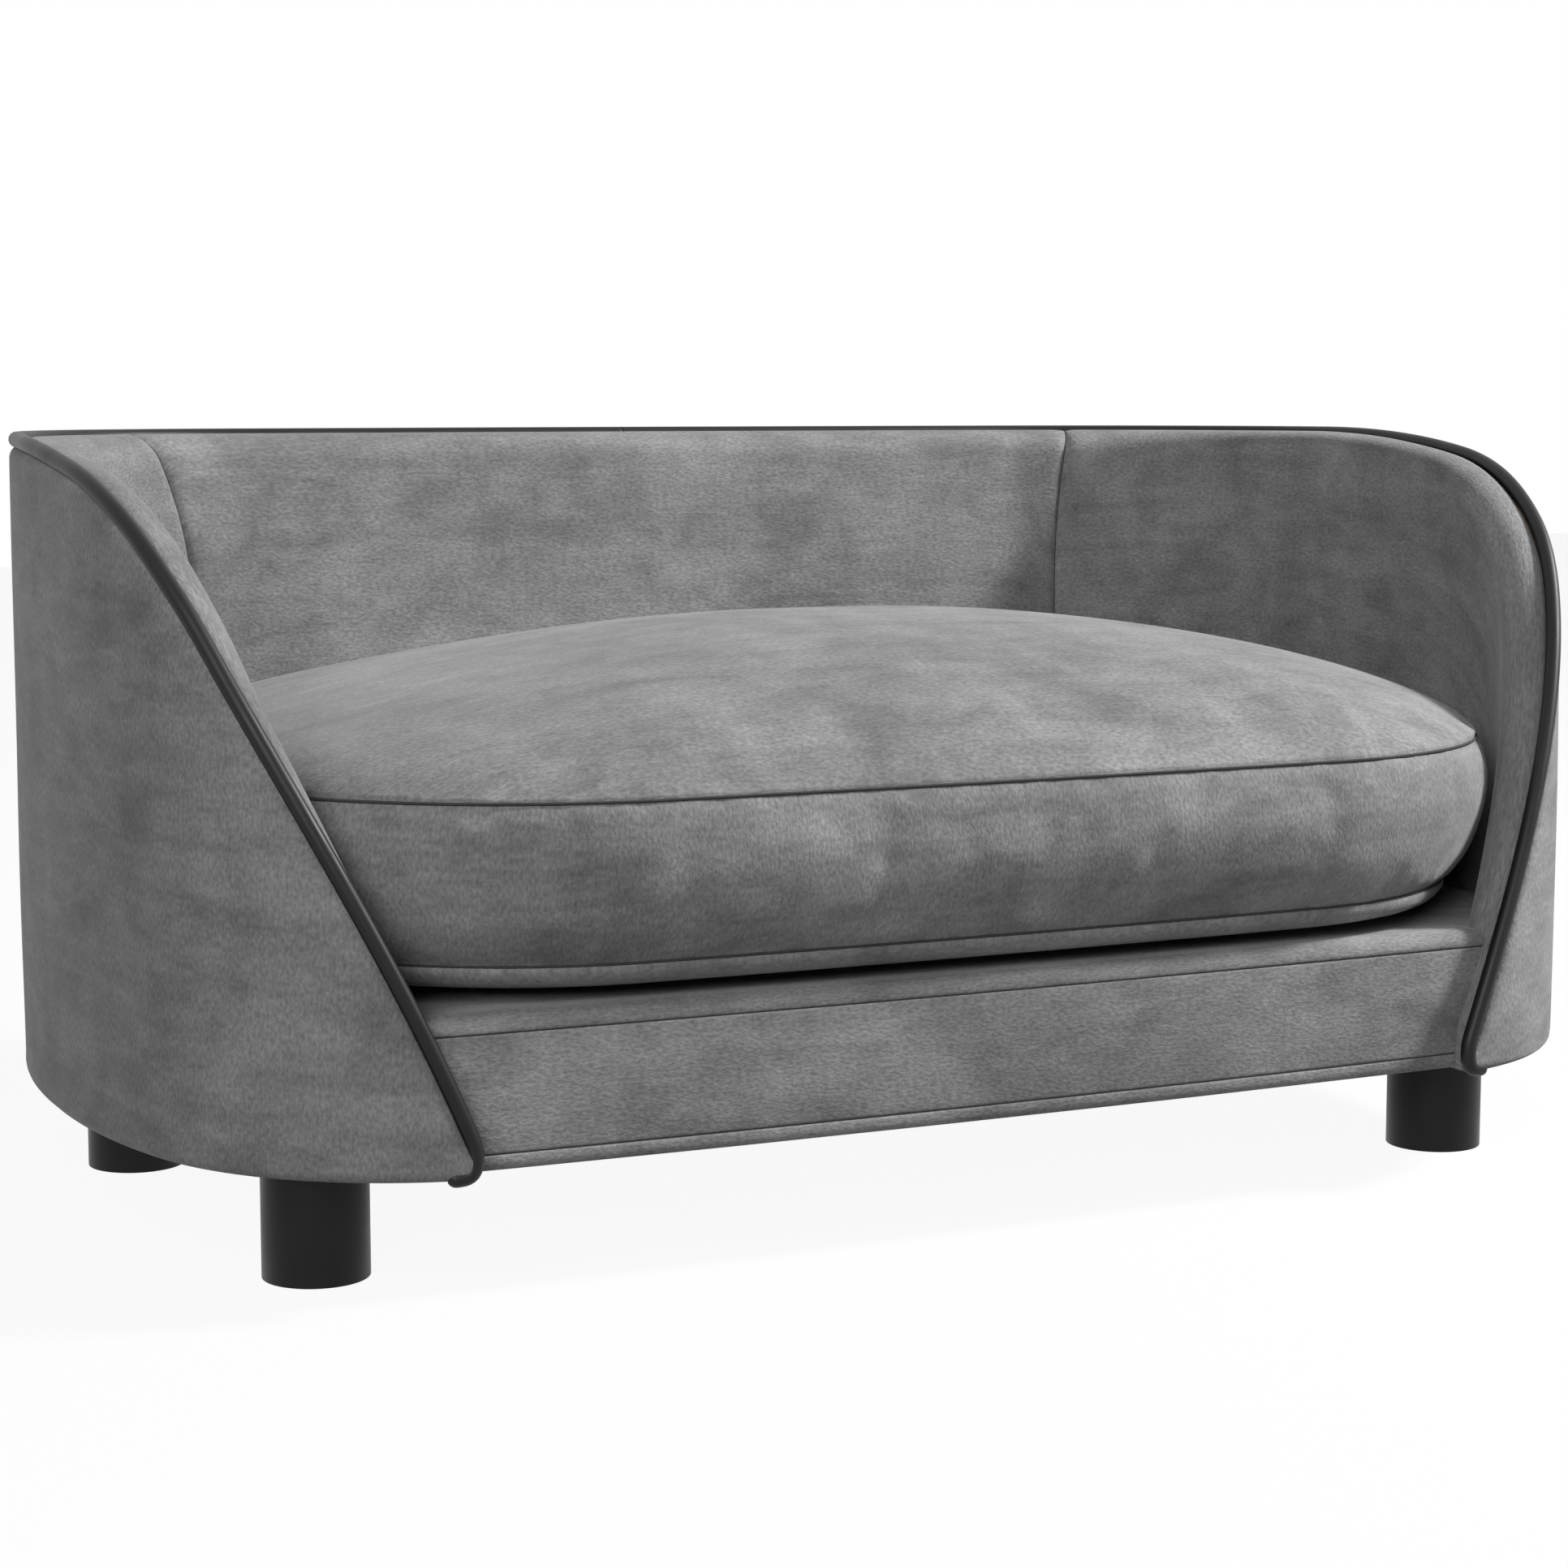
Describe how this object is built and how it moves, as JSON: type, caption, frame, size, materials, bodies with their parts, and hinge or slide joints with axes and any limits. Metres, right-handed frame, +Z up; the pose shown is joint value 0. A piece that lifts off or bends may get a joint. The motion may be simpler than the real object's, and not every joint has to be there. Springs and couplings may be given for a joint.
{
  "type": "dog sofa bed",
  "caption": "Upholstered dog sofa: one curved padded wall as back and raked arms, low box on round legs, and a thick loose cushion with a zip.",
  "frame": {"origin": "on the floor under the middle of the whole piece", "axes": "+Z up, -Y the open front with the rail, +X towards the right arm as seen from the front"},
  "size_m": [0.7612, 0.4612, 0.3628],
  "materials": {
    "velvet": "grey short-pile velvet",
    "piping": "black satin leatherette piping",
    "foam": "cream upholstery foam",
    "fibre_filling": "white fibre filling",
    "bent_plywood": "raw bent plywood",
    "plywood": "raw plywood",
    "pine": "planed pine",
    "black_legs": "black satin plastic",
    "zinc": "bright zinc plating",
    "dust_cloth": "black non-woven cloth",
    "zip_cloth": "grey woven tape",
    "zip_nylon": "grey nylon coil",
    "slider_metal": "grey enamel on zinc"
  },
  "bodies": {
    "frame": {"outer_cover": "velvet", "wall_board": "bent_plywood", "wall_foam": "foam", "arm_foam_left": "foam", "arm_foam_right": "foam", "arm_lining_left": "velvet", "arm_lining_right": "velvet", "back_lining": "velvet", "wall_piping": "piping", "base_board": "plywood", "front_rail": "pine", "deck_battens": "pine", "deck_board": "plywood", "deck_pad": "fibre_filling", "rail_hem_strip": "velvet", "rail_face_panel": "velvet", "rail_top_panel": "velvet", "dust_cover": "dust_cloth", "leg_front_left": "black_legs", "leg_front_right": "black_legs", "leg_rear_left": "black_legs", "leg_rear_right": "black_legs", "leg_bolts": "zinc", "leg_tee_nuts": "zinc"},
    "cushion": {"cushion_core": "fibre_filling", "cushion_top_panel": "velvet", "cushion_band": "velvet", "cushion_bottom_panel": "velvet", "zip_tape": "zip_cloth", "zip_teeth": "zip_nylon"},
    "slider": {"zip_slider": "slider_metal"}
  },
  "joints": [
    {"name": "cushion_lift", "type": "slide", "parent": "frame", "child": "cushion", "axis": [0, 0, 1], "range_m": [0, 0.3]},
    {"name": "zip_slide", "type": "slide", "parent": "cushion", "child": "slider", "axis": [1, 0, 0], "range_m": [0, 0.264]}
  ]
}
